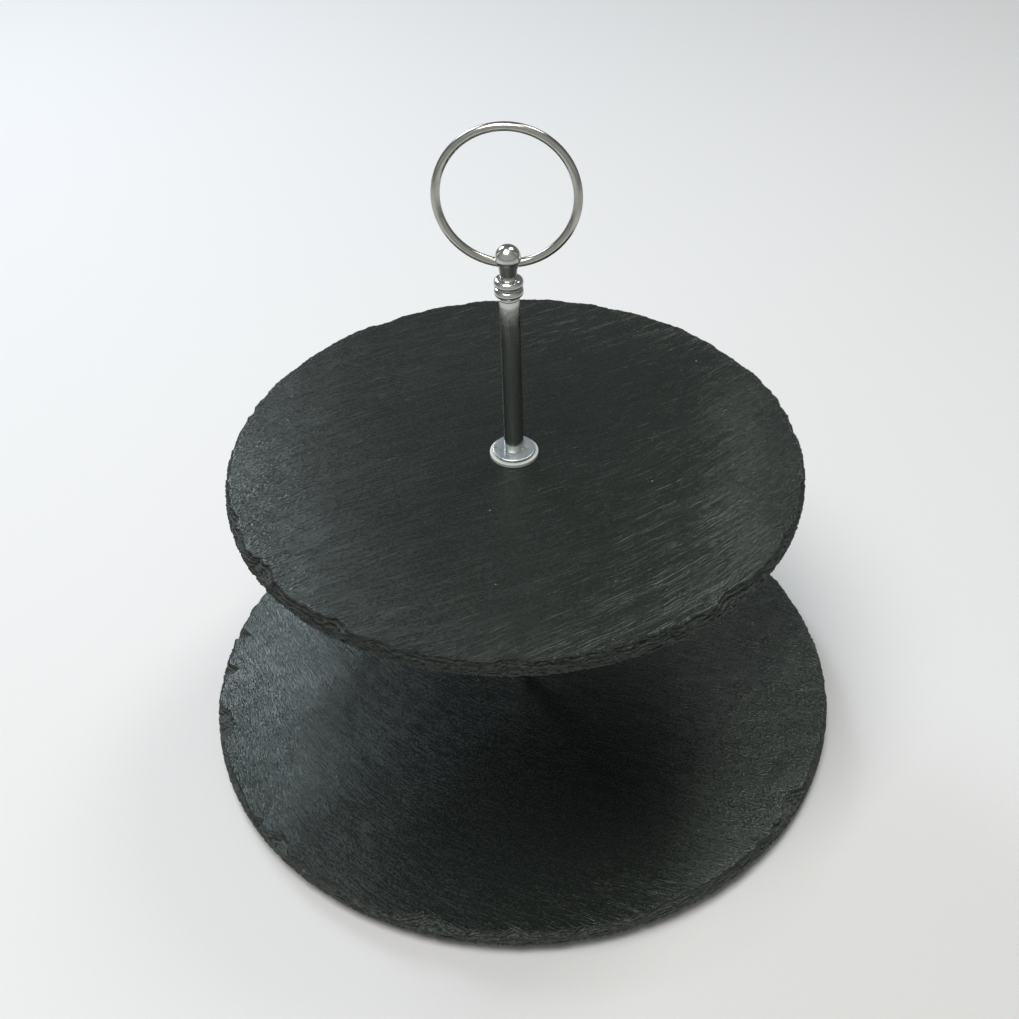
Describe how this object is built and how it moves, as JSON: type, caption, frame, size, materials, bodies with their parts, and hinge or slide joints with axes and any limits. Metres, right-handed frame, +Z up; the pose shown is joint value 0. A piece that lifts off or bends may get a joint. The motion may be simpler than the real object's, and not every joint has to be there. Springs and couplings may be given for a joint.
{
  "type": "tiered cake stand",
  "caption": "Tiered cake stand: a smaller round slate plate above a larger one on a slim chromed pillar that screws together, with a ball finial and a tilting ring handle.",
  "frame": {"origin": "middle of the plane that the rubber feet rest on, on the pillar's axis", "axes": "+Z up along the pillar, +X along the ring handle's pivot, +Y the side to which the ring leans"},
  "size_m": [0.3, 0.3, 0.3019],
  "materials": {
    "slate": "satin",
    "chrome": "polished",
    "zinc_steel": "satin",
    "nylon": "satin",
    "rubber": "matte"
  },
  "bodies": {
    "lower_tier": {"foot_pad_1": "rubber", "foot_pad_2": "rubber", "foot_pad_3": "rubber", "foot_pad_4": "rubber", "base_screw": "zinc_steel", "base_steel_washer": "chrome", "base_nylon_washer": "nylon", "lower_slate": "slate"},
    "lower_pillar": {"lower_bottom_insert": "zinc_steel", "lower_tube": "chrome", "lower_top_insert": "zinc_steel", "seat_steel_washer": "chrome", "seat_nylon_washer": "nylon", "joining_stud": "zinc_steel"},
    "upper_tier": {"upper_slate": "slate", "upper_nylon_washer": "nylon"},
    "clamp_washer": {"upper_steel_washer": "chrome"},
    "handle_column": {"upper_bottom_insert": "zinc_steel", "upper_tube": "chrome", "upper_top_insert": "zinc_steel", "finial_stud": "zinc_steel", "finial": "chrome"},
    "ring": {"ring_handle": "chrome"}
  },
  "joints": [
    {"name": "pillar_swivel", "type": "hinge", "parent": "lower_tier", "child": "lower_pillar", "pos_m": [0, 0, 0.013], "axis": [0, 0, 1], "continuous": true},
    {"name": "upper_tier_swivel", "type": "hinge", "parent": "lower_pillar", "child": "upper_tier", "pos_m": [0, 0, 0.1446], "axis": [0, 0, 1], "continuous": true},
    {"name": "handle_unscrew", "type": "hinge", "parent": "lower_pillar", "child": "clamp_washer", "pos_m": [0, 0, 0.1549], "axis": [0, 0, 1], "range_deg": [0, 3960]},
    {"name": "handle_rise", "type": "slide", "parent": "clamp_washer", "child": "handle_column", "axis": [0, 0, 1], "range_m": [0, 0.0077]},
    {"name": "ring_tilt", "type": "hinge", "parent": "handle_column", "child": "ring", "pos_m": [0, 0, 0.2461], "axis": [-1, 0, 0], "range_deg": [-178, 165]}
  ],
  "couplings": [
    {"joint": "handle_rise", "follows": "handle_unscrew", "m_per_rad": 0.00011141}
  ]
}
